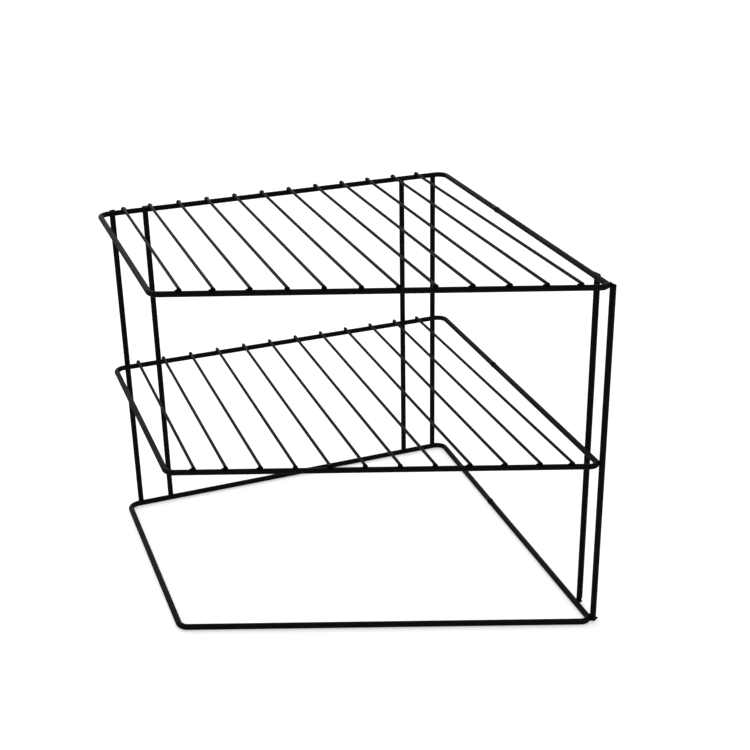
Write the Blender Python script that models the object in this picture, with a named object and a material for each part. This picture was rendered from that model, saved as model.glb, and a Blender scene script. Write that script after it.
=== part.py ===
"""Two-deck corner shelf of welded wire: three bent rings, six uprights and two rows of crosswires."""

from math import acos, cos, pi, radians, sin, tan

import bmesh
import bpy
from mathutils import Vector

# Wire stock, in metres
FRAME_WIRE = 0.0036
CROSS_WIRE = 0.002

# Plan of the rings, along the centre line of the wire
BACK_LENGTH = 0.258
LEFT_DEPTH = 0.171
RIGHT_DEPTH = 0.2675
LEFT_SPLAY = 0.0027
RIGHT_LEAN = 0.0157
BEND_RADIUS = 0.007
TIGHT_BEND_RADIUS = 0.005

# Heights of the two shelf rings, from the floor to the centre line of the wire
MID_RING_HEIGHT = 0.1137
TOP_RING_HEIGHT = 0.2286

# Fit of welded wires: how far one is pressed into the other, and the gap left in its seat
SET_DOWN = 0.0003
SEAT_GAP = 0.0003

# Butt weld that closes each ring, measured along the right side from the back corner
BUTT_PLACE = 0.102
BUTT_LENGTH = 0.0032
BUTT_CROWN_SHARE = 0.35
BUTT_DIAMETER = 0.0042

# Crosswires: how far the outermost ones lie from the corners, and the outer gaps as a share of the others
CROSS_COUNT = 12
CROSS_BACK_LEFT_INSET = 0.0168
CROSS_BACK_RIGHT_INSET = 0.0224
CROSS_FRONT_LEFT_INSET = 0.017
CROSS_FRONT_RIGHT_INSET = 0.017
CROSS_END_GAP_SHARE = 0.92

# How far the crosswires' ends pass the ring's centre line
CROSS_BACK_PAST = 0.0025
CROSS_FRONT_PAST = 0.001

# Front end of a crosswire, squeezed flat by the weld
SQUEEZE_WIDTH = 0.0037
SQUEEZE_HEIGHT = 0.0019
SQUEEZE_LENGTH = 0.003
SQUEEZE_FLARE_SHARE = 0.5

# Uprights: places past the bends, spacing of the rear pair, and how far their ends fall short
LEFT_OUTER_PAST_BEND = 0.0025
LEFT_INNER_CROSS_GAP = 0.0003
REAR_PAIR_SPACING = 0.0253
FRONT_INNER_PAST_BEND = 0.0174
FRONT_OUTER_BEND_SHARE = 0.27
UPRIGHT_END_INSET = 0.0005

# Facets of round wire and of bends
WIRE_SIDES = 12
BEND_STEPS = 6
WELD_DISTANCE = 0.00001
SHARP_ANGLE = radians(50)

# Coating
COATING_COLOUR = (0.012, 0.012, 0.013, 1.0)
COATING_ROUGHNESS = 0.42

UP = Vector((0.0, 0.0, 1.0))


def clear_scene():
    for item in list(bpy.data.objects):
        bpy.data.objects.remove(item, do_unlink=True)


def new_collection(name):
    collection = bpy.data.collections.new(name)
    bpy.context.scene.collection.children.link(collection)
    return collection


def coating(name):
    """Semi-matte black coat of one piece."""
    material = bpy.data.materials.new(name + "_coating")
    material.use_nodes = True
    shader = material.node_tree.nodes["Principled BSDF"]
    shader.inputs["Base Color"].default_value = COATING_COLOUR
    shader.inputs["Roughness"].default_value = COATING_ROUGHNESS
    shader.inputs["Metallic"].default_value = 0.0
    return material


# Plan of the rings

def plan_corners():
    """Corners of the centre line, anticlockwise: back right, back left, front left, front right."""
    back_right = Vector((0.0, 0.0, 0.0))
    back_left = Vector((-BACK_LENGTH, 0.0, 0.0))
    front_left = Vector((-BACK_LENGTH - LEFT_SPLAY, -LEFT_DEPTH, 0.0))
    front_right = Vector((-RIGHT_LEAN, -RIGHT_DEPTH, 0.0))
    return back_right, back_left, front_left, front_right


def outward(start, end):
    """Unit vector that points out of the plan, square to the side from start to end."""
    return (end - start).cross(UP).normalized()


def half_angle(before, corner, after):
    """Half of the angle inside a corner of the plan."""
    to_before = (before - corner).normalized()
    to_after = (after - corner).normalized()
    return acos(to_before.dot(to_after)) / 2


def bend_length(before, corner, after, radius):
    """Length of side that the bend takes, from the sharp corner to where the wire runs straight."""
    return radius / tan(half_angle(before, corner, after))


def bend_point(before, corner, after, radius, share, reach):
    """Point at a share of a bend's turn and a reach from the bend's centre."""
    half = half_angle(before, corner, after)
    inward = ((before - corner).normalized() + (after - corner).normalized()).normalized()
    centre = corner + inward * (radius / sin(half))
    first = outward(before, corner)
    second = UP.cross(first)
    angle = (pi - 2 * half) * share
    return centre + (first * cos(angle) + second * sin(angle)) * reach


def ring_path():
    """Points of a ring's centre line in plan, each with the wire's thickness there as a share."""
    corners = plan_corners()
    bends = (BEND_RADIUS, BEND_RADIUS, BEND_RADIUS, TIGHT_BEND_RADIUS)
    path = []
    for index, corner in enumerate(corners):
        before = corners[index - 1]
        after = corners[(index + 1) % len(corners)]
        radius = bends[index]
        for step in range(BEND_STEPS + 1):
            share = step / BEND_STEPS
            path.append((bend_point(before, corner, after, radius, share, radius), 1.0))
    return path + butt_weld(corners[3], corners[0])


def butt_weld(front_right, back_right):
    """Swelling on the right side, where the two ends of a ring's wire are welded together."""
    along = (back_right - front_right).normalized()
    middle = back_right - along * BUTT_PLACE
    foot = along * (BUTT_LENGTH / 2)
    crown = foot * BUTT_CROWN_SHARE
    swell = BUTT_DIAMETER / FRAME_WIRE
    return [(middle - foot, 1.0), (middle - crown, swell), (middle + crown, swell), (middle + foot, 1.0)]


# Wires

def wire_curve(name, path, diameter, closed, target):
    """Round wire along a path, with its facets turned so that one faces up and one down."""
    data = bpy.data.curves.new(name, "CURVE")
    data.dimensions = "3D"
    data.twist_mode = "Z_UP"
    data.bevel_depth = diameter / 2 / cos(pi / WIRE_SIDES)
    data.bevel_resolution = (WIRE_SIDES - 4) // 2
    data.use_fill_caps = True
    data.render_resolution_u = 0
    spline = data.splines.new("POLY")
    spline.points.add(len(path) - 1)
    for point, (place, share) in zip(spline.points, path):
        point.co = (*place, 1.0)
        point.radius = share
        point.tilt = pi / WIRE_SIDES
    spline.use_cyclic_u = closed
    item = bpy.data.objects.new(name, data)
    target.objects.link(item)
    return item


def wire_mesh(name, path, diameter, closed, target):
    """The same wire as a mesh, with its end caps welded on."""
    curve = wire_curve(name + "_path", path, diameter, closed, target)
    bpy.context.view_layer.update()
    evaluated = curve.evaluated_get(bpy.context.evaluated_depsgraph_get())
    mesh = bpy.data.meshes.new_from_object(evaluated)
    body = bmesh.new()
    body.from_mesh(mesh)
    bmesh.ops.remove_doubles(body, verts=body.verts, dist=WELD_DISTANCE)
    body.to_mesh(mesh)
    body.free()
    mesh.shade_smooth()
    mesh.set_sharp_from_angle(angle=SHARP_ANGLE)
    item = bpy.data.objects.new(name, mesh)
    item.matrix_world = curve.matrix_world.copy()
    target.objects.link(item)
    bpy.data.objects.remove(curve, do_unlink=True)
    return item


def lifted(path, height):
    return [(place + UP * height, share) for place, share in path]


def cut_by(item, cutter):
    """Take the cutter's space out of a piece."""
    modifier = item.modifiers.new(cutter.name, "BOOLEAN")
    modifier.operation = "DIFFERENCE"
    modifier.object = cutter


# Rings

def ring(name, height, parts):
    """Closed ring of frame wire."""
    item = wire_mesh(name, lifted(ring_path(), height), FRAME_WIRE, True, parts)
    item.data.materials.append(coating(name))


def dress_underside(item):
    """Grind the swelling of the butt weld flush where the base ring stands on the floor."""
    for vertex in item.data.vertices:
        vertex.co.z = max(vertex.co.z, 0.0)


def ring_relief(name, height, cutters):
    """Ring grown by the seat's gap, which cuts the seats of the wires that are welded to it."""
    cutter = wire_mesh(name, lifted(ring_path(), height), FRAME_WIRE + 2 * SEAT_GAP, True, cutters)
    cutter.hide_render = True
    cutter.display_type = "WIRE"
    return cutter


# Crosswires

def gaps_passed(index):
    """Gaps from the first crosswire to this one, with the two outer gaps counted as shares of one."""
    outer = int(index > 0) + int(index == CROSS_COUNT - 1)
    inner = min(max(index - 1, 0), CROSS_COUNT - 3)
    return outer * CROSS_END_GAP_SHARE + inner


def cross_place(index, start, end, first_inset, last_inset):
    """Point of a side where a crosswire lies, between the outermost ones."""
    along = (end - start).normalized()
    room = (end - start).length - first_inset - last_inset
    return start + along * (first_inset + room * gaps_passed(index) / gaps_passed(CROSS_COUNT - 1))


def crosswire_seats(index):
    """Plan points where a crosswire lies on the back side and on the slanted front side."""
    back_right, back_left, front_left, front_right = plan_corners()
    back = cross_place(index, back_left, back_right, CROSS_BACK_LEFT_INSET, CROSS_BACK_RIGHT_INSET)
    front = cross_place(index, front_left, front_right, CROSS_FRONT_LEFT_INSET, CROSS_FRONT_RIGHT_INSET)
    return back, front


def crosswire_ends(index):
    """Plan points where a crosswire starts behind the back side and ends on the slanted front side."""
    back_right, back_left, front_left, front_right = plan_corners()
    back, front = crosswire_seats(index)
    along = (front - back).normalized()
    back_slope = -along.dot(outward(back_right, back_left))
    front_slope = along.dot(outward(front_left, front_right))
    start = back - along * (CROSS_BACK_PAST / back_slope)
    end = front + along * (CROSS_FRONT_PAST / front_slope)
    return start, end


def squeeze_end(item, end, along):
    """Flatten the last stretch of a crosswire, as the weld leaves it."""
    across = along.cross(UP).normalized()
    flat_length = SQUEEZE_LENGTH * (1 - SQUEEZE_FLARE_SHARE)
    for vertex in item.data.vertices:
        offset = vertex.co - end
        if offset.dot(along) > -flat_length - WELD_DISTANCE:
            wider = across * (offset.dot(across) * (SQUEEZE_WIDTH / CROSS_WIRE - 1))
            lower = UP * (offset.dot(UP) * (SQUEEZE_HEIGHT / CROSS_WIRE - 1))
            vertex.co = vertex.co + wider + lower


def crosswire(name, index, ring_height, relief, parts):
    """Thin wire that lies on a shelf ring, with a seat cut at the back side and one at the front."""
    level = UP * (ring_height + (FRAME_WIRE + CROSS_WIRE) / 2 - SET_DOWN)
    start, end = crosswire_ends(index)
    start = start + level
    end = end + level
    along = (end - start).normalized()
    flare = end - along * SQUEEZE_LENGTH
    flat = flare.lerp(end, SQUEEZE_FLARE_SHARE)
    path = [(start, 1.0), (flare, 1.0), (flat, 1.0), (end, 1.0)]
    item = wire_mesh(name, path, CROSS_WIRE, False, parts)
    squeeze_end(item, end, along)
    cut_by(item, relief)
    item.data.materials.append(coating(name))


# Uprights

def upright_places():
    """Names and plan points of the uprights, on the outside of the rings."""
    back_right, back_left, front_left, front_right = plan_corners()
    reach = FRAME_WIRE - SET_DOWN
    behind = outward(back_right, back_left) * reach
    beside = outward(front_right, back_right) * reach
    rightward = (back_right - back_left).normalized()
    rearward = (back_right - front_right).normalized()
    left_bend = bend_length(back_right, back_left, front_left, BEND_RADIUS)
    rear_bend = bend_length(front_right, back_right, back_left, BEND_RADIUS)
    front_bend = bend_length(front_left, front_right, back_right, TIGHT_BEND_RADIUS)
    left_outer = left_bend + LEFT_OUTER_PAST_BEND
    left_inner = crosswire_seats(1)[0] - rightward * ((FRAME_WIRE + CROSS_WIRE) / 2 + LEFT_INNER_CROSS_GAP)
    rear_inner = rear_bend + REAR_PAIR_SPACING
    front_inner = front_bend + FRONT_INNER_PAST_BEND
    front_outer = bend_point(
        front_left,
        front_right,
        back_right,
        TIGHT_BEND_RADIUS,
        1 - FRONT_OUTER_BEND_SHARE,
        TIGHT_BEND_RADIUS + reach,
    )
    return (
        ("upright_left_outer", back_left + rightward * left_outer + behind),
        ("upright_left_inner", left_inner + behind),
        ("upright_rear_inner", back_right - rightward * rear_inner + behind),
        ("upright_rear_outer", back_right - rightward * rear_bend + behind),
        ("upright_front_inner", front_right + rearward * front_inner + beside),
        ("upright_front_outer", front_outer),
    )


def upright(name, place, reliefs, parts):
    """Straight wire from the base ring to the top ring, with a seat cut for each ring."""
    low = UP * UPRIGHT_END_INSET
    high = UP * (TOP_RING_HEIGHT + FRAME_WIRE / 2 - UPRIGHT_END_INSET)
    item = wire_mesh(name, [(place + low, 1.0), (place + high, 1.0)], FRAME_WIRE, False, parts)
    for relief in reliefs:
        cut_by(item, relief)
    item.data.materials.append(coating(name))


# Whole part

def footprint_middle(items):
    """Middle of the floor space that the pieces cover."""
    bpy.context.view_layer.update()
    graph = bpy.context.evaluated_depsgraph_get()
    places = []
    for item in items:
        evaluated = item.evaluated_get(graph)
        mesh = evaluated.to_mesh()
        places.extend(item.matrix_world @ vertex.co for vertex in mesh.vertices)
        evaluated.to_mesh_clear()
    low = Vector((min(place.x for place in places), min(place.y for place in places), 0.0))
    high = Vector((max(place.x for place in places), max(place.y for place in places), 0.0))
    return (low + high) / 2


def stand_on_origin(parts, cutters):
    """Carry every piece on one empty, placed so that the middle of the footprint is at the origin."""
    pieces = list(parts.objects)
    middle = footprint_middle(pieces)
    footprint = bpy.data.objects.new("footprint", None)
    parts.objects.link(footprint)
    for item in pieces + list(cutters.objects):
        item.parent = footprint
    footprint.location = -middle


def main():
    clear_scene()
    parts = new_collection("corner_shelf")
    cutters = new_collection("seat_cutters")
    levels = (("base", FRAME_WIRE / 2), ("mid", MID_RING_HEIGHT), ("top", TOP_RING_HEIGHT))
    reliefs = {}
    for level, height in levels:
        ring(level + "_ring", height, parts)
        reliefs[level] = ring_relief(level + "_seats", height, cutters)
    dress_underside(parts.objects["base_ring"])
    for name, place in upright_places():
        upright(name, place, reliefs.values(), parts)
    for level, height in levels[1:]:
        for index in range(CROSS_COUNT):
            name = f"{level}_crosswire_{index + 1:02d}"
            crosswire(name, index, height, reliefs[level], parts)
    stand_on_origin(parts, cutters)


main()
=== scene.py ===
"""Looks of the two-deck corner shelf of coated, welded wire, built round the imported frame."""

from math import acos, cos, pi, radians, sin, sqrt, tan
from random import Random

import bpy
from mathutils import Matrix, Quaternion, Vector

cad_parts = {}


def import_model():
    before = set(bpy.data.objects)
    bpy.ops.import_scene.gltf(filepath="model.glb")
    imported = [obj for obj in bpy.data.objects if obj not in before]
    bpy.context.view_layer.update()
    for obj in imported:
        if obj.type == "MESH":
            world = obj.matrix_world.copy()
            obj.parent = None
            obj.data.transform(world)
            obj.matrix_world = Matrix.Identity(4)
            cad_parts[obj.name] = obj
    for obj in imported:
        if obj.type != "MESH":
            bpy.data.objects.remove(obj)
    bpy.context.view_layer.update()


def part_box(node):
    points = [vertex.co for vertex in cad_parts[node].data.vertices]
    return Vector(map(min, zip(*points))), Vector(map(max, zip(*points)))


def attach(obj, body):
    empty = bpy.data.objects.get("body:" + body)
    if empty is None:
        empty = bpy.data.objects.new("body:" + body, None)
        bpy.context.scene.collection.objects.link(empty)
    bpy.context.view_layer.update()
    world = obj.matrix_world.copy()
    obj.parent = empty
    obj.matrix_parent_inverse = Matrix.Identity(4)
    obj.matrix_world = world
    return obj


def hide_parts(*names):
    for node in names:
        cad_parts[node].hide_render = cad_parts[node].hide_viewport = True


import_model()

# Thickness of the wires, in metres; the base ring and the uprights read thicker than their 3.6 mm wire
FRAME_WIRE = 0.0036
BASE_WIRE = 0.0039
UPRIGHT_WIRE = 0.0039
CROSS_WIRE = 0.002

# How deep one wire is pressed into another, and the sides of the wires' tubes
SET_DOWN = 0.0003
FRAME_SIDES = 24
CROSS_SIDES = 20

# Plan of the rings, along the centre line of the wire
BACK_LENGTH = 0.258
LEFT_DEPTH = 0.171
RIGHT_DEPTH = 0.2675
LEFT_SPLAY = 0.0027
RIGHT_LEAN = 0.0157
BEND_RADIUS = 0.007
TIGHT_BEND_RADIUS = 0.005
BEND_STEPS = 18
SIDE_STEPS = 16

# Butt weld that closes each ring, on the right side, with its thickness on 3.6 mm wire
BUTT_PLACE = 0.102
BUTT_LENGTH = 0.0032
BUTT_DIAMETER = 0.0042
BUTT_STEPS = 8
BUTT_FULLNESS = 0.7

# Crosswires: their number, the equal gaps between the two outer ones, and their places on the rings
CROSS_COUNT = 12
INNER_GAPS = CROSS_COUNT - 3
CROSS_BACK_LEFT_INSET = 0.0168
CROSS_BACK_RIGHT_INSET = 0.0224
CROSS_FRONT_LEFT_INSET = 0.017
CROSS_FRONT_RIGHT_INSET = 0.017
CROSS_END_GAP_SHARE = 0.92
CROSS_BACK_PAST = 0.0025
CROSS_FRONT_PAST = 0.001

# Front end of a crosswire, squeezed into a low mound by its weld: distance from the end, half width and
# half height
FRONT_END = (
    (0.0040, 0.00100, 0.00100),
    (0.0033, 0.00106, 0.00101),
    (0.0026, 0.00126, 0.00105),
    (0.0019, 0.00150, 0.00112),
    (0.0013, 0.00167, 0.00118),
    (0.0008, 0.00173, 0.00120),
    (0.0004, 0.00168, 0.00115),
    (0.0001, 0.00150, 0.00101),
    (0.0000, 0.00122, 0.00078),
)

# How far the weld's finish, darker as painted shade, reaches from the front end, and how far that end
# leans left and down
FRONT_WELD_REACH = 0.003
FRONT_END_LEFT = 0.0006
FRONT_END_DROP = 0.0002

# Back end of a crosswire on each deck, flattened on the ring and pinched where it was cut off: distance
# from the end, half width and half height
BACK_ENDS = {
    "mid": (
        (0.0044, 0.00100, 0.00100),
        (0.0036, 0.00114, 0.00103),
        (0.0028, 0.00140, 0.00108),
        (0.0021, 0.00148, 0.00112),
        (0.0015, 0.00126, 0.00114),
        (0.0010, 0.00098, 0.00114),
        (0.0006, 0.00074, 0.00110),
        (0.0004, 0.00060, 0.00098),
        (0.0003, 0.00044, 0.00078),
    ),
    "top": (
        (0.0044, 0.00100, 0.00100),
        (0.0036, 0.00118, 0.00103),
        (0.0028, 0.00162, 0.00108),
        (0.0021, 0.00188, 0.00112),
        (0.0015, 0.00158, 0.00114),
        (0.0010, 0.00118, 0.00114),
        (0.0006, 0.00090, 0.00110),
        (0.0004, 0.00076, 0.00098),
        (0.0003, 0.00058, 0.00078),
    ),
}
# How far the weld finish, darker as painted shade, reaches from the back end
BACK_WELD_REACH = 0.0021

# Crosswires whose backs were cut shorter, by deck and by place from the left
BACK_TRIMS = {
    ("mid", 11): 0.0006,
    ("top", 0): 0.0008,
    ("top", 11): 0.0006,
}

# Places of the uprights
LEFT_OUTER_PAST_BEND = 0.0025
LEFT_INNER_CROSS_GAP = 0.0003
REAR_PAIR_SPACING = 0.0253
FRONT_INNER_PAST_BEND = 0.0174
FRONT_OUTER_BEND_SHARE = 0.27

# Sheared end of an upright, with its slight dish: distance from the end, thickness there as a share
CUT_SHARES = (
    (0.0030, 1.0),
    (0.0015, 1.0),
    (0.0008, 1.02),
    (0.0003, 1.02),
    (0.0001, 0.97),
    (0.0, 0.88),
    (0.00012, 0.5),
)
CUT_REACH = 0.003
# How far the weld finish, darker as painted shade, reaches from an upright's cut end
CUT_DARK_FINISH_REACH = 0.0016

# Cuts of the uprights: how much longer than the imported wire, slope and saddle of the top, then how much
# longer the foot and its slope; a slope is positive where the wire is longer towards the front right
UPRIGHT_CUTS = {
    "upright_left_outer": (0.0001, 0.16, 0.05, 0.0, 0.08),
    "upright_left_inner": (0.0002, 0.08, 0.10, 0.0, -0.06),
    "upright_rear_inner": (-0.0012, 0.15, 0.0, 0.0, 0.08),
    "upright_rear_outer": (-0.0010, -0.15, 0.08, 0.0, -0.10),
    "upright_front_inner": (-0.0011, -0.50, 0.10, -0.0023, -0.9),
    "upright_front_outer": (-0.0002, -0.60, 0.22, -0.0006, 0.10),
}

# Weld beads: gap between the wires where a bead is narrowest and where it runs out
BEAD_WAIST_GAP = 0.00012
BEAD_EDGE_GAP = 0.00042
BEAD_SINK = 0.00006
BEAD_SIDES = 20
BEAD_ROWS = 6
BEAD_LUMP_SHARE = 0.14
BEAD_HOLLOW = 1.6
BEAD_CAP_SHARE = 0.5
BISECT_STEPS = 24

# Flash squeezed out beside the front welds of some crosswires, on top of the ring and to its left
FLASHED_WIRES = (0, 1, 2, 8, 9, 10, 11)
FLASH_START = 0.0002
FLASH_TIP = 0.0031
FLASH_RISE = 0.0001
FLASH_RADIUS = 0.0009
FLASH_TIP_RADIUS = 0.0006

# Flash at the feet of the front uprights: where it starts and where it ends, each as a distance outward
# and a distance along from the ring's centre line and a height over the floor; then its two radii
FOOT_FLASH = (
    ("upright_front_inner", (0.0018, 0.0, 0.0022), (0.0047, 0.0003, 0.0026), 0.0013, 0.0014),
    ("upright_front_inner", (0.0020, 0.0, 0.0010), (0.0057, 0.0006, 0.0009), 0.0008, 0.00085),
    ("upright_front_outer", (0.0030, 0.0002, 0.0018), (0.0064, 0.0024, 0.0012), 0.0012, 0.0007),
    ("upright_front_outer", (0.0020, 0.0005, 0.0028), (0.0004, 0.0018, 0.0040), 0.0010, 0.0008),
)
FLASH_STEPS = 10
FLASH_SIDES = 14
FLASH_SPAN_SHARE = 0.99
FLASH_FULLNESS = 4

# Finish: darkest and lightest shade, gloss and roughness of the coating and of the welds under it; the
# welds' darker tones are painted shade
COAT_SHADES = (0.0012, 0.0032)
COAT_SPECULAR = 0.05
COAT_ROUGHNESS = (0.64, 0.76)
# The weld tones are darker than the coating's as painted shade on the welds and the wire ends
WELD_PAINTED_SHADE_TONES = (0.0008, 0.0022)
WELD_SPECULAR = 0.012
WELD_ROUGHNESS = (0.78, 0.9)
BLUE_SHARE = 1.06
CLOUD_SCALE = 90.0
CLOUD_DETAIL = 4.0
SHADE_SPAN = (0.35, 0.68)
GLOSS_SPAN = (0.3, 0.7)
PEEL_SCALE = 1400.0
PEEL_DETAIL = 2.0
PEEL_DEPTH = 0.00004
PEEL_STRENGTH = 0.35

# Angle from which an edge is shown sharp, and the seed of the beads' unevenness
SHARP_ANGLE = radians(48)
SEED = 7

# Room: the paper floor, the light it gives off where it is seen, the fill and the lamp
WHITE = (1.0, 1.0, 1.0, 1.0)
FLOOR_SIZE = 60.0
FLOOR_LIFT = 0.45
PAPER_SHADE = 0.8
PAPER_ROUGHNESS = 0.9
WORLD_FILL = 0.7
SUN_ELEVATION = radians(27)
SUN_WIDTH = radians(58)
SUN_STRENGTH = 1.6

# Camera, in the row frame
CAMERA_PLACE = Vector((-0.2615, -0.7335, 0.4809))
CAMERA_LOOK = Vector((0.33009, 0.85400, -0.40216))
CAMERA_ROLL = radians(-1.005)
CAMERA_LENS = 62.03
SENSOR_WIDTH = 36.0
CAMERA_CLIP = 0.01

UP = Vector((0.0, 0.0, 1.0))


# Plan of the rings

def plan_corners():
    """Corners of the centre line, anticlockwise from the back right one, with that one at zero."""
    back_right = Vector((0.0, 0.0, 0.0))
    back_left = Vector((-BACK_LENGTH, 0.0, 0.0))
    front_left = Vector((-BACK_LENGTH - LEFT_SPLAY, -LEFT_DEPTH, 0.0))
    front_right = Vector((-RIGHT_LEAN, -RIGHT_DEPTH, 0.0))
    return back_right, back_left, front_left, front_right


def outward(start, end):
    """Unit vector that points out of the plan, square to the side from start to end."""
    return (end - start).cross(UP).normalized()


def half_angle(before, corner, after):
    """Half of the angle inside a corner of the plan."""
    to_before = (before - corner).normalized()
    to_after = (after - corner).normalized()
    return acos(to_before.dot(to_after)) / 2


def bend_length(before, corner, after, radius):
    """Length of side that the bend takes, from the sharp corner to where the wire runs straight."""
    return radius / tan(half_angle(before, corner, after))


def bend_point(before, corner, after, radius, share, reach):
    """Point at a share of a bend's turn and a reach from the bend's centre, and the way out there."""
    half = half_angle(before, corner, after)
    inward = ((before - corner).normalized() + (after - corner).normalized()).normalized()
    centre = corner + inward * (radius / sin(half))
    first = outward(before, corner)
    angle = (pi - 2 * half) * share
    way_out = first * cos(angle) + UP.cross(first) * sin(angle)
    return centre + way_out * reach, way_out


def corner_bends():
    """Each corner with the ones before and after it, and its bend's radius."""
    corners = plan_corners()
    radii = (BEND_RADIUS, BEND_RADIUS, BEND_RADIUS, TIGHT_BEND_RADIUS)
    for index, corner in enumerate(corners):
        yield corners[index - 1], corner, corners[(index + 1) % len(corners)], radii[index]


def bend_stations():
    """Points of each bend with the way out of the plan there."""
    for before, corner, after, radius in corner_bends():
        steps = [step / BEND_STEPS for step in range(BEND_STEPS + 1)]
        yield [bend_point(before, corner, after, radius, share, radius) for share in steps]


def butt_stations(front_right, back_right):
    """Centre points over the closing weld, each with the wire's thickness there as a share."""
    along = (back_right - front_right).normalized()
    middle = back_right - along * BUTT_PLACE
    stations = []
    for step in range(BUTT_STEPS + 1):
        place = 2 * step / BUTT_STEPS - 1
        crown = cos(place * pi / 2) ** BUTT_FULLNESS if abs(place) < 1 else 0.0
        swell = 1 + (BUTT_DIAMETER / FRAME_WIRE - 1) * crown
        stations.append((middle + along * (place * BUTT_LENGTH / 2), swell))
    return stations


def side_stations(start, end, way_out):
    """Points strictly between the two ends of a straight stretch."""
    return [(start.lerp(end, step / SIDE_STEPS), way_out, 1.0) for step in range(1, SIDE_STEPS)]


def ring_stations():
    """Centre points round a ring, each with the way out of the plan and the thickness as a share."""
    bends = list(bend_stations())
    back_right, _, _, front_right = plan_corners()
    stations = []
    for index, bend in enumerate(bends):
        stations.extend((point, way_out, 1.0) for point, way_out in bend)
        start = bend[-1][0]
        end = bends[(index + 1) % len(bends)][0][0]
        way_out = outward(start, end)
        if index == len(bends) - 1:
            butt = butt_stations(front_right, back_right)
            stations.extend(side_stations(start, butt[0][0], way_out))
            stations.extend((point, way_out, swell) for point, swell in butt)
            stations.extend(side_stations(butt[-1][0], end, way_out))
        else:
            stations.extend(side_stations(start, end, way_out))
    return stations


def plan_place():
    """Where the plan's back right corner lies in the row frame, read from the base ring's box."""
    low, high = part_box("base_ring")
    reach = FRAME_WIRE / 2
    points = [point for bend in bend_stations() for point, _ in bend]
    left = low.x + reach - min(point.x for point in points)
    back = high.y - reach - max(point.y for point in points)
    return Vector((left, back, 0.0))


def ring_thickness(level):
    """Thickness of a ring's wire as it looks in its coating."""
    return BASE_WIRE if level == "base" else FRAME_WIRE


def ring_height(level):
    """Height of a ring's centre line, from the middle of its box, which the butt weld swells evenly."""
    if level == "base":
        return ring_thickness(level) / 2
    low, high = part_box(level + "_ring")
    return (low.z + high.z) / 2


PLACE = plan_place()


# Meshes; a shape is its points, its faces and a mark on each face, 1 where the finish is that of a weld,
# darker as painted shade

def sweep(stations, sides, closed):
    """Tube through stations of (centre, half-width vector, half-height vector, mark)."""
    turns = [2 * pi * side / sides for side in range(sides)]
    points = []
    for centre, across, upward, _ in stations:
        points.extend(centre + across * cos(turn) + upward * sin(turn) for turn in turns)
    count = len(stations)
    faces = []
    marks = []
    for row in range(count if closed else count - 1):
        here = row * sides
        there = (row + 1) % count * sides
        mark = int(stations[row][3] and stations[(row + 1) % count][3])
        for side in range(sides):
            after = (side + 1) % sides
            faces.append((here + side, here + after, there + after, there + side))
            marks.append(mark)
    if not closed:
        faces.append(tuple(reversed(range(sides))))
        marks.append(int(stations[0][3]))
        faces.append(tuple(range((count - 1) * sides, count * sides)))
        marks.append(int(stations[-1][3]))
    return points, faces, marks


def merged(shapes):
    """Several shapes as one."""
    points = []
    faces = []
    marks = []
    for shape_points, shape_faces, shape_marks in shapes:
        first = len(points)
        points.extend(shape_points)
        faces.extend(tuple(first + index for index in face) for face in shape_faces)
        marks.extend(shape_marks)
    return points, faces, marks


def add_object(name, data):
    """New object of the scene with this mesh, lamp or camera."""
    item = bpy.data.objects.new(name, data)
    bpy.context.scene.collection.objects.link(item)
    return item


def add_piece(name, shape, finishes, *nodes):
    """Shown piece of the shelf that rides on the root body and stands for these nodes."""
    points, faces, marks = shape
    mesh = bpy.data.meshes.new(name)
    mesh.from_pydata(points, [], faces)
    for finish in finishes:
        mesh.materials.append(finish)
    mesh.polygons.foreach_set("material_index", marks)
    mesh.shade_smooth()
    mesh.set_sharp_from_angle(angle=SHARP_ANGLE)
    piece = add_object(name, mesh)
    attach(piece, "root")
    if nodes:
        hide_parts(*nodes)


# Wires

def ring_shape(level):
    """Closed ring, flat under the butt weld where the base ring stands on the floor."""
    height = UP * ring_height(level)
    stations = []
    for point, way_out, swell in ring_stations():
        reach = ring_thickness(level) / 2 * swell
        stations.append((PLACE + point + height, way_out * -reach, UP * reach, swell > 1))
    points, faces, marks = sweep(stations, FRAME_SIDES, True)
    if level == "base":
        points = [Vector((point.x, point.y, max(point.z, 0.0))) for point in points]
    return points, faces, marks


def gaps_passed(index):
    """Gaps from the first crosswire to this one, with the two outer gaps counted as shares of one."""
    outer = int(index > 0) + int(index == CROSS_COUNT - 1)
    inner = min(max(index - 1, 0), INNER_GAPS)
    return outer * CROSS_END_GAP_SHARE + inner


def cross_place(index, start, end, first_inset, last_inset):
    """Point of a side where a crosswire lies, between the outermost ones."""
    along = (end - start).normalized()
    room = (end - start).length - first_inset - last_inset
    return start + along * (first_inset + room * gaps_passed(index) / gaps_passed(CROSS_COUNT - 1))


def crosswire_seats(index):
    """Plan points where a crosswire lies on the back side and on the slanted front side."""
    back_right, back_left, front_left, front_right = plan_corners()
    back = cross_place(index, back_left, back_right, CROSS_BACK_LEFT_INSET, CROSS_BACK_RIGHT_INSET)
    front = cross_place(index, front_left, front_right, CROSS_FRONT_LEFT_INSET, CROSS_FRONT_RIGHT_INSET)
    return back, front


def crosswire_ends(index):
    """Plan points where a crosswire starts behind the back side and ends on the slanted front side."""
    back_right, back_left, front_left, front_right = plan_corners()
    back, front = crosswire_seats(index)
    along = (front - back).normalized()
    start = back - along * (CROSS_BACK_PAST / -along.dot(outward(back_right, back_left)))
    end = front + along * (CROSS_FRONT_PAST / along.dot(outward(front_left, front_right)))
    return start, end


def crosswire_level(level):
    """Height of the crosswires' centre lines on a ring."""
    return UP * (ring_height(level) + (FRAME_WIRE + CROSS_WIRE) / 2 - SET_DOWN)


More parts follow.
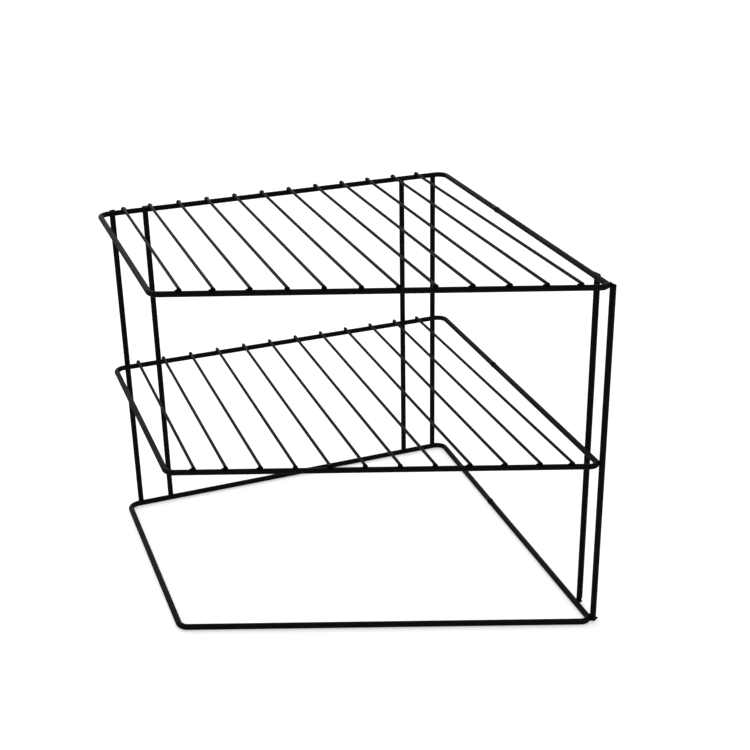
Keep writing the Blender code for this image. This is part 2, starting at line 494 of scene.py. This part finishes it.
def swollen_end(end, along, across, profile, weld_reach, shift):
    """Stations of a crosswire's end, from the wire towards the end, where its middle has shifted."""
    length = profile[0][0]
    stations = []
    for distance, half_width, half_height in profile:
        middle = end - along * distance + shift * (1 - distance / length)
        stations.append((middle, across * half_width, UP * half_height, distance <= weld_reach))
    return stations


def crosswire_shape(level, index):
    """Straight wire with a flattened back end and a mound for its front end."""
    start, end = (PLACE + point + crosswire_level(level) for point in crosswire_ends(index))
    along = (end - start).normalized()
    across = UP.cross(along)
    start += along * BACK_TRIMS.get((level, index), 0.0)
    mound_shift = across * -FRONT_END_LEFT - UP * FRONT_END_DROP
    back = swollen_end(start, -along, across, BACK_ENDS[level], BACK_WELD_REACH, Vector())
    front = swollen_end(end, along, across, FRONT_END, FRONT_WELD_REACH, mound_shift)
    return sweep(back[::-1] + front, CROSS_SIDES, False)


def cut_end(end, along):
    """Stations of an upright's end, from the wire towards the end, cut square."""
    across = Vector((1.0, 0.0, 0.0))
    stations = []
    for distance, share in CUT_SHARES:
        reach = UPRIGHT_WIRE / 2 * share
        middle = end - along * distance
        stations.append((middle, across * reach, UP.cross(across) * reach, distance < CUT_DARK_FINISH_REACH))
    return stations


def sheared(point, end, along, slope, saddle):
    """A point of a square end, moved along the wire to give the cut its slope and its saddle."""
    front_left, front_right = plan_corners()[2:]
    rightward = (front_right - front_left).normalized()
    offset = point - end
    ramp = max(1 + offset.dot(along) / CUT_REACH, 0.0)
    aside = offset.dot(rightward)
    forth = offset.dot(along.cross(rightward))
    curve = saddle * (aside ** 2 - forth ** 2) / (UPRIGHT_WIRE / 2)
    return point + along * (ramp * (slope * aside + curve))


def upright_shape(name):
    """Straight wire with its two sheared ends."""
    low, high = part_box(name)
    middle = (low + high) / 2
    top_growth, top_slope, top_saddle, foot_growth, foot_slope = UPRIGHT_CUTS[name]
    foot = Vector((middle.x, middle.y, low.z - foot_growth))
    top = Vector((middle.x, middle.y, high.z + top_growth))
    stations = cut_end(foot, -UP)[::-1] + cut_end(top, UP)
    points, faces, marks = sweep(stations, FRAME_SIDES, False)
    points = [sheared(point, top, UP, top_slope, top_saddle) for point in points]
    points = [sheared(point, foot, -UP, foot_slope, 0.0) for point in points]
    return points, faces, marks


# Welds

def surface_height(wire, heading, reach):
    """Height of a wire's surface over its axis, at a reach from the crossing along a heading."""
    _, along, radius = wire
    across = reach * heading.cross(along).length
    return sqrt(max(radius ** 2 - across ** 2, 0.0))


def gap_at(lower, upper, heading, reach):
    """Gap between two crossed wires, at a reach from the crossing along a heading."""
    spacing = (upper[0] - lower[0]).length
    return spacing - surface_height(lower, heading, reach) - surface_height(upper, heading, reach)


def reach_at_gap(lower, upper, heading, gap):
    """Reach from the crossing at which the gap between the wires has grown to a size."""
    near, far = 0.0, max(lower[2], upper[2])
    for _ in range(BISECT_STEPS):
        middle = (near + far) / 2
        if gap_at(lower, upper, heading, middle) < gap:
            near = middle
        else:
            far = middle
    return near


def weld_bead(lower, upper, random):
    """Bead that fills the corner between two crossed wires, each (centre, along, radius)."""
    normal = (upper[0] - lower[0]).normalized()
    first = lower[1].normalized()
    second = normal.cross(first)
    phase, twin_phase = random.uniform(0, 2 * pi), random.uniform(0, 2 * pi)
    rows = [[] for _ in range(BEAD_ROWS + 1)]
    for side in range(BEAD_SIDES):
        turn = 2 * pi * side / BEAD_SIDES
        heading = first * cos(turn) + second * sin(turn)
        lump = 1 + BEAD_LUMP_SHARE * (cos(turn - phase) + cos(2 * turn - twin_phase)) / 2
        waist = reach_at_gap(lower, upper, heading, BEAD_WAIST_GAP)
        edge = max(waist, reach_at_gap(lower, upper, heading, BEAD_EDGE_GAP * lump))
        for row in range(BEAD_ROWS + 1):
            share = row / BEAD_ROWS
            reach = waist + (edge - waist) * abs(2 * share - 1) ** BEAD_HOLLOW
            low = surface_height(lower, heading, reach) - BEAD_SINK
            high = (upper[0] - lower[0]).length - surface_height(upper, heading, reach) + BEAD_SINK
            rows[row].append(lower[0] + heading * reach + normal * (low + (high - low) * share))
    points = [point for row in rows for point in row]
    faces = []
    for row in range(BEAD_ROWS):
        for side in range(BEAD_SIDES):
            after = (side + 1) % BEAD_SIDES
            here = row * BEAD_SIDES
            faces.append((here + side, here + after, here + BEAD_SIDES + after, here + BEAD_SIDES + side))
    for row, order in ((0, -1), (BEAD_ROWS, 1)):
        rim = [row * BEAD_SIDES + side for side in range(BEAD_SIDES)][::order]
        centre = len(points)
        inside = lower[0] if row == 0 else upper[0]
        edge_middle = sum((points[index] for index in rim), Vector()) / BEAD_SIDES
        points.append(edge_middle.lerp(inside, BEAD_CAP_SHARE))
        faces.extend((rim[side], rim[(side + 1) % BEAD_SIDES], centre) for side in range(BEAD_SIDES))
    return points, faces, [1] * len(faces)


def flash_lump(start, tip, start_radius, tip_radius):
    """Rounded lump of squeezed-out metal from one point to another."""
    along = (tip - start).normalized()
    across = along.orthogonal().normalized()
    upward = along.cross(across)
    stations = []
    for step in range(FLASH_STEPS + 1):
        place = (2 * step / FLASH_STEPS - 1) * FLASH_SPAN_SHARE
        share = (place + 1) / 2
        radius = (start_radius + (tip_radius - start_radius) * share) * sqrt(1 - place ** FLASH_FULLNESS)
        stations.append((start.lerp(tip, share), across * radius, upward * radius, True))
    return sweep(stations, FLASH_SIDES, False)


def crosswire_welds(level, random):
    """Beads under the crosswires of a deck, and the flash beside some of them on the front side."""
    back_right, back_left, front_left, front_right = plan_corners()
    leftward = (front_left - front_right).normalized()
    sides = ((back_right - back_left).normalized(), -leftward)
    ring_level = PLACE + UP * ring_height(level)
    welds = []
    for index in range(CROSS_COUNT):
        seats = crosswire_seats(index)
        along = (seats[1] - seats[0]).normalized()
        for seat, side in zip(seats, sides):
            ring_wire = (ring_level + seat, side, FRAME_WIRE / 2)
            deck_wire = (PLACE + seat + crosswire_level(level), along, CROSS_WIRE / 2)
            welds.append(weld_bead(ring_wire, deck_wire, random))
        if index in FLASHED_WIRES:
            crown = ring_level + seats[1] + UP * (FRAME_WIRE / 2 + FLASH_RISE)
            start = crown + leftward * FLASH_START
            tip = crown + leftward * FLASH_TIP
            welds.append(flash_lump(start, tip, FLASH_RADIUS, FLASH_TIP_RADIUS))
    return welds


def upright_seats():
    """Names of the uprights with the ring's plan point beside each and the way out there."""
    back_right, back_left, front_left, front_right = plan_corners()
    rightward = (back_right - back_left).normalized()
    rearward = (back_right - front_right).normalized()
    behind = outward(back_right, back_left)
    beside = outward(front_right, back_right)
    left_bend = bend_length(back_right, back_left, front_left, BEND_RADIUS)
    rear_bend = bend_length(front_right, back_right, back_left, BEND_RADIUS)
    front_bend = bend_length(front_left, front_right, back_right, TIGHT_BEND_RADIUS)
    left_inner = crosswire_seats(1)[0] - rightward * ((FRAME_WIRE + CROSS_WIRE) / 2 + LEFT_INNER_CROSS_GAP)
    front_outer, front_way = bend_point(
        front_left,
        front_right,
        back_right,
        TIGHT_BEND_RADIUS,
        1 - FRONT_OUTER_BEND_SHARE,
        TIGHT_BEND_RADIUS,
    )
    front_inner = front_right + rearward * (front_bend + FRONT_INNER_PAST_BEND)
    return {
        "upright_left_outer": (back_left + rightward * (left_bend + LEFT_OUTER_PAST_BEND), behind),
        "upright_left_inner": (left_inner, behind),
        "upright_rear_inner": (back_right - rightward * (rear_bend + REAR_PAIR_SPACING), behind),
        "upright_rear_outer": (back_right - rightward * rear_bend, behind),
        "upright_front_inner": (front_inner, beside),
        "upright_front_outer": (front_outer, front_way),
    }


def upright_welds(level, random):
    """Beads between a ring and the six uprights."""
    ring_level = PLACE + UP * ring_height(level)
    beads = []
    for seat, way_out in upright_seats().values():
        ring_wire = (ring_level + seat, way_out.cross(UP), ring_thickness(level) / 2)
        post = (ring_level + seat + way_out * (FRAME_WIRE - SET_DOWN), UP, UPRIGHT_WIRE / 2)
        beads.append(weld_bead(ring_wire, post, random))
    return beads


def foot_flash():
    """Lumps of flash at the feet of the front uprights."""
    seats = upright_seats()
    lumps = []
    for name, start, tip, start_radius, tip_radius in FOOT_FLASH:
        seat, way_out = seats[name]
        ends = [
            PLACE + seat + way_out * out + UP.cross(way_out) * along + UP * height
            for out, along, height in (start, tip)
        ]
        lumps.append(flash_lump(*ends, start_radius, tip_radius))
    return lumps


# Materials

def link(tree, source, socket, target, inlet):
    """Connect a socket of one node to an inlet of another."""
    tree.links.new(source.outputs[socket], target.inputs[inlet])


def noise(tree, place, scale, detail):
    """Noise over the piece's own coordinates."""
    pattern = tree.nodes.new("ShaderNodeTexNoise")
    pattern.inputs["Scale"].default_value = scale
    pattern.inputs["Detail"].default_value = detail
    link(tree, place, "Object", pattern, "Vector")
    return pattern


def black_finish(name, shades, specular, roughness):
    """Black coating: fine orange peel, uneven gloss and a slight change of shade."""
    material = bpy.data.materials.new(name)
    material.use_nodes = True
    tree = material.node_tree
    shader = tree.nodes["Principled BSDF"]
    shader.inputs["Specular IOR Level"].default_value = specular
    place = tree.nodes.new("ShaderNodeTexCoord")
    cloud = noise(tree, place, CLOUD_SCALE, CLOUD_DETAIL)
    shade = tree.nodes.new("ShaderNodeValToRGB")
    for element, position, value in zip(shade.color_ramp.elements, SHADE_SPAN, shades):
        element.position = position
        element.color = (value, value, value * BLUE_SHARE, 1.0)
    link(tree, cloud, "Fac", shade, "Fac")
    link(tree, shade, "Color", shader, "Base Color")
    gloss = tree.nodes.new("ShaderNodeMapRange")
    ends = ("From Min", "From Max", "To Min", "To Max")
    for end, value in zip(ends, GLOSS_SPAN + roughness):
        gloss.inputs[end].default_value = value
    link(tree, cloud, "Fac", gloss, "Value")
    link(tree, gloss, "Result", shader, "Roughness")
    peel = noise(tree, place, PEEL_SCALE, PEEL_DETAIL)
    bump = tree.nodes.new("ShaderNodeBump")
    bump.inputs["Strength"].default_value = PEEL_STRENGTH
    bump.inputs["Distance"].default_value = PEEL_DEPTH
    link(tree, peel, "Fac", bump, "Height")
    link(tree, bump, "Normal", shader, "Normal")
    return material


def seen_directly(tree):
    """One where a ray comes from the camera, a reflection or a clear piece."""
    path = tree.nodes.new("ShaderNodeLightPath")
    seen = path
    socket = "Is Camera Ray"
    for kind in ("Is Glossy Ray", "Is Transmission Ray"):
        either = tree.nodes.new("ShaderNodeMath")
        either.operation = "MAXIMUM"
        link(tree, seen, socket, either, 0)
        link(tree, path, kind, either, 1)
        seen = either
        socket = "Value"
    return seen


def floor_paper():
    """White paper floor, lifted to white where it is seen, so that only the shadow shows."""
    material = bpy.data.materials.new("white_paper")
    material.use_nodes = True
    tree = material.node_tree
    paper = tree.nodes["Principled BSDF"]
    paper.inputs["Base Color"].default_value = (PAPER_SHADE, PAPER_SHADE, PAPER_SHADE, 1.0)
    paper.inputs["Roughness"].default_value = PAPER_ROUGHNESS
    paper.inputs["Specular IOR Level"].default_value = 0.0
    paper.inputs["Emission Color"].default_value = WHITE
    lift = tree.nodes.new("ShaderNodeMath")
    lift.operation = "MULTIPLY"
    lift.inputs[1].default_value = FLOOR_LIFT
    link(tree, seen_directly(tree), "Value", lift, 0)
    link(tree, lift, "Value", paper, "Emission Strength")
    return material


# Room

def floor():
    """Wide paper floor, with its edge far outside any view."""
    half = FLOOR_SIZE / 2
    corners = [(-half, -half, 0.0), (half, -half, 0.0), (half, half, 0.0), (-half, half, 0.0)]
    mesh = bpy.data.meshes.new("floor")
    mesh.from_pydata(corners, [], [(0, 1, 2, 3)])
    mesh.materials.append(floor_paper())
    add_object("floor", mesh)


def world():
    """Plain soft fill from all round, white where it is seen."""
    sky = bpy.data.worlds.new("studio")
    bpy.context.scene.world = sky
    sky.use_nodes = True
    tree = sky.node_tree
    background = tree.nodes["Background"]
    background.inputs["Color"].default_value = WHITE
    strength = tree.nodes.new("ShaderNodeMapRange")
    strength.inputs["To Min"].default_value = WORLD_FILL
    strength.inputs["To Max"].default_value = 1.0
    link(tree, seen_directly(tree), "Value", strength, "Value")
    link(tree, strength, "Result", background, "Strength")


def back_light():
    """Wide, soft lamp from far behind the shelf, which greys the tops of the wires."""
    lamp = bpy.data.lights.new("back_light", "SUN")
    lamp.angle = SUN_WIDTH
    lamp.energy = SUN_STRENGTH
    item = add_object("back_light", lamp)
    towards = Vector((0.0, cos(SUN_ELEVATION), sin(SUN_ELEVATION)))
    item.rotation_mode = "QUATERNION"
    item.rotation_quaternion = towards.to_track_quat("Z", "Y")


def camera():
    """Camera at the photograph's place and angle."""
    data = bpy.data.cameras.new("camera")
    data.lens = CAMERA_LENS
    data.sensor_width = SENSOR_WIDTH
    data.clip_start = CAMERA_CLIP
    item = add_object("camera", data)
    item.location = CAMERA_PLACE
    item.rotation_mode = "QUATERNION"
    item.rotation_quaternion = CAMERA_LOOK.to_track_quat("-Z", "Y") @ Quaternion(UP, CAMERA_ROLL)
    bpy.context.scene.camera = item


def shelf():
    """Every wire of the shelf and its welds, level by level."""
    finishes = (
        black_finish("black_coating", COAT_SHADES, COAT_SPECULAR, COAT_ROUGHNESS),
        # The second finish, on welds and wire ends, is darker as painted shade
        black_finish("weld_coating_painted_shade", WELD_PAINTED_SHADE_TONES, WELD_SPECULAR, WELD_ROUGHNESS),
    )
    random = Random(SEED)
    for level in ("base", "mid", "top"):
        add_piece(f"coated_{level}_ring", ring_shape(level), finishes, level + "_ring")
        welds = upright_welds(level, random)
        if level == "base":
            welds += foot_flash()
        else:
            welds += crosswire_welds(level, random)
            for index in range(CROSS_COUNT):
                node = f"{level}_crosswire_{index + 1:02d}"
                add_piece("coated_" + node, crosswire_shape(level, index), finishes, node)
        add_piece(f"{level}_ring_welds", merged(welds), finishes)
    for node in UPRIGHT_CUTS:
        add_piece("coated_" + node, upright_shape(node), finishes, node)


def main():
    """Set up the view, the room and the shelf."""
    bpy.context.scene.view_settings.view_transform = "Standard"
    camera()
    world()
    floor()
    back_light()
    shelf()


main()
